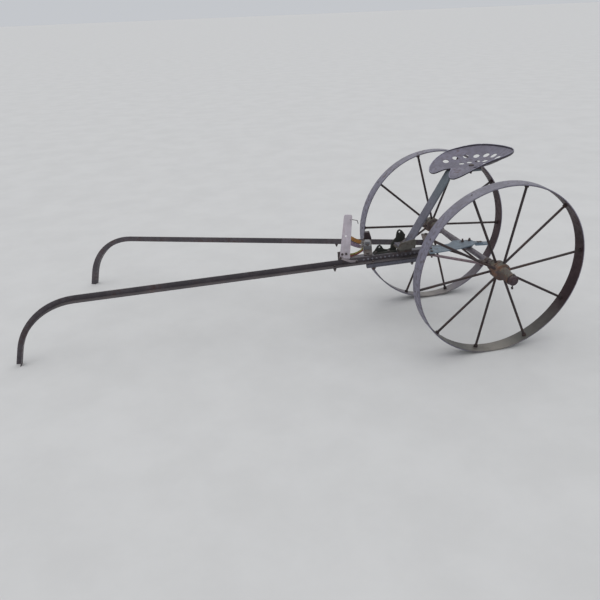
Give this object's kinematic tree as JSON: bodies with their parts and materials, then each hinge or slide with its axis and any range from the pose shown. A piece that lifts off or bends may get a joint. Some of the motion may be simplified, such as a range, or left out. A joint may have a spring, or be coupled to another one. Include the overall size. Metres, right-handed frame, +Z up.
{
  "type": "two-wheeled horse cart",
  "caption": "Two-wheeled steel cart with spoked wheels, long splayed pulling shafts resting on the ground and a raised pressed-metal seat.",
  "frame": {"origin": "centre of the object's box, on the ground", "axes": "+Z up, the axle along Y, the shafts reach towards -X from the axle; the wheel at -Y is near"},
  "size_m": [3.2206, 2.0378, 1.0815],
  "materials": {
    "dark_casting": "dark, pitted",
    "hub_iron": "rusty casting",
    "lower_strap": "worn webbing",
    "middle_strap": "worn webbing",
    "pale_plate": "faded paint",
    "rail_steel": "weathered grey",
    "rusty_steel": "rusty",
    "seat_steel": "weathered grey blue",
    "shaft_steel": "dark rust",
    "spoke_steel": "rusty",
    "tail_steel": "weathered blue grey",
    "teal_paint": "worn teal paint",
    "tyre_iron": "weathered, rusty",
    "upper_strap": "worn webbing"
  },
  "bodies": {
    "frame": {"axle_saddle": "dark_casting", "axle_straps": "rusty_steel", "axle_tube": "rusty_steel", "brace_bolts": "rusty_steel", "cast_bracket": "dark_casting", "far_block": "dark_casting", "far_brace": "rusty_steel", "far_cotter": "rusty_steel", "far_retainer": "rusty_steel", "far_shaft": "shaft_steel", "far_stub_axle": "rusty_steel", "far_washer": "rusty_steel", "frame_bolts": "rusty_steel", "frame_nuts": "rusty_steel", "front_crossbar": "rusty_steel", "lower_strap": "lower_strap", "middle_strap": "middle_strap", "near_brace": "rusty_steel", "near_cotter": "rusty_steel", "near_doubler": "rail_steel", "near_pipe": "rail_steel", "near_retainer": "rusty_steel", "near_rivets": "rail_steel", "near_shaft": "shaft_steel", "near_stub_axle": "rusty_steel", "near_washer": "rusty_steel", "painted_bolt": "teal_paint", "plate_bolts": "rusty_steel", "plate_cleat": "rusty_steel", "plate_strap": "rusty_steel", "rear_crosspiece": "rusty_steel", "seat_bolt": "rusty_steel", "seat_bracket": "dark_casting", "seat_bracket_bolts": "rusty_steel", "seat_crossplate": "rusty_steel", "seat_nut": "rusty_steel", "seat_pan": "seat_steel", "seat_post": "seat_steel", "seat_saddle": "rusty_steel", "shaft_studs": "rusty_steel", "strap_clamp": "rusty_steel", "tail_bar": "tail_steel", "tail_bar_bolts": "rusty_steel", "tail_plate": "tail_steel", "tie_rod": "rusty_steel", "u_bolt": "rusty_steel", "u_bolt_nuts": "rusty_steel", "upper_strap": "upper_strap", "upright_plate": "pale_plate", "wire_hook": "rusty_steel"},
    "near_wheel": {"near_tyre": "tyre_iron", "near_spokes": "spoke_steel", "near_spoke_collars": "spoke_steel", "near_hub": "hub_iron"},
    "far_wheel": {"far_tyre": "tyre_iron", "far_spokes": "spoke_steel", "far_spoke_collars": "spoke_steel", "far_hub": "hub_iron"}
  },
  "joints": [
    {"name": "near_wheel_turn", "type": "hinge", "parent": "frame", "child": "near_wheel", "pos_m": [1.11027, -0.86446, 0.50141], "axis": [0, -0.9986, -0.0523], "continuous": true},
    {"name": "far_wheel_turn", "type": "hinge", "parent": "frame", "child": "far_wheel", "pos_m": [1.11027, 0.01554, 0.50141], "axis": [0, 0.9986, -0.0523], "continuous": true}
  ]
}
